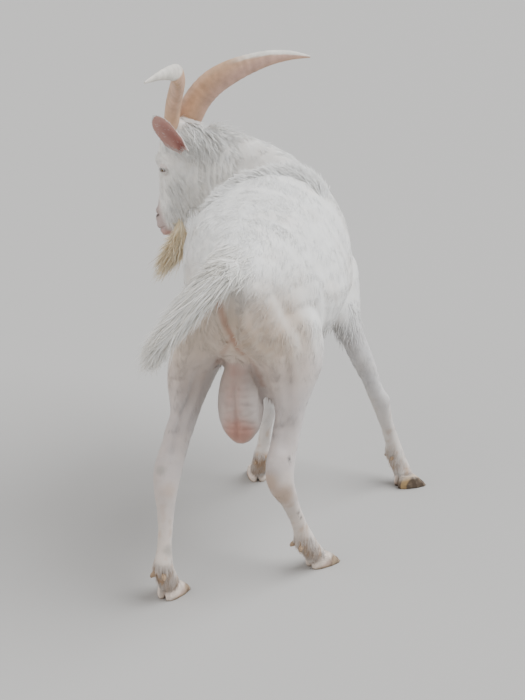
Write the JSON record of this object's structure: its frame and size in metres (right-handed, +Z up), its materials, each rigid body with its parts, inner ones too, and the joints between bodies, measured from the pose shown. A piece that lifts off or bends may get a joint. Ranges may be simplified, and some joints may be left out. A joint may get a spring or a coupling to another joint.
{
  "type": "goat",
  "caption": "Still life-size white dairy buck standing with spread legs, head turned back over its left shoulder; swept horns, beard, pricked ear and tail swung to one side.",
  "frame": {"origin": "on the floor, under the middle of the box round the whole goat", "axes": "+Z up; the goat's body faces -Y and its left side is +X"},
  "size_m": [0.817, 1.158, 1.1308],
  "materials": {
    "coat": "short white hair",
    "long_hair": "long cream hair",
    "bare_skin": "pink skin under thin hair",
    "horn": "ridged tan horn",
    "hoof": "worn hoof",
    "eye": "wet and glossy"
  },
  "bodies": {
    "root": {"trunk": "coat", "neck": "coat", "head": "coat", "ear_left": "coat", "ear_right": "coat", "hind_left_thigh": "coat", "hind_right_thigh": "coat", "fore_left_forearm": "coat", "fore_right_forearm": "coat", "hind_left_shank": "coat", "hind_right_shank": "coat", "fore_left_shank": "coat", "fore_right_shank": "coat", "tail": "long_hair", "beard": "long_hair", "scrotum": "bare_skin", "eye_left": "eye", "eye_right": "eye", "horn_left": "horn", "horn_right": "horn", "hind_left_claw_left": "hoof", "hind_left_claw_right": "hoof", "hind_right_claw_left": "hoof", "hind_right_claw_right": "hoof", "fore_left_claw_left": "hoof", "fore_left_claw_right": "hoof", "fore_right_claw_left": "hoof", "fore_right_claw_right": "hoof", "hind_left_dewclaw_left": "hoof", "hind_left_dewclaw_right": "hoof", "hind_right_dewclaw_left": "hoof", "hind_right_dewclaw_right": "hoof", "fore_left_dewclaw_left": "hoof", "fore_left_dewclaw_right": "hoof", "fore_right_dewclaw_left": "hoof", "fore_right_dewclaw_right": "hoof"}
  },
  "joints": []
}
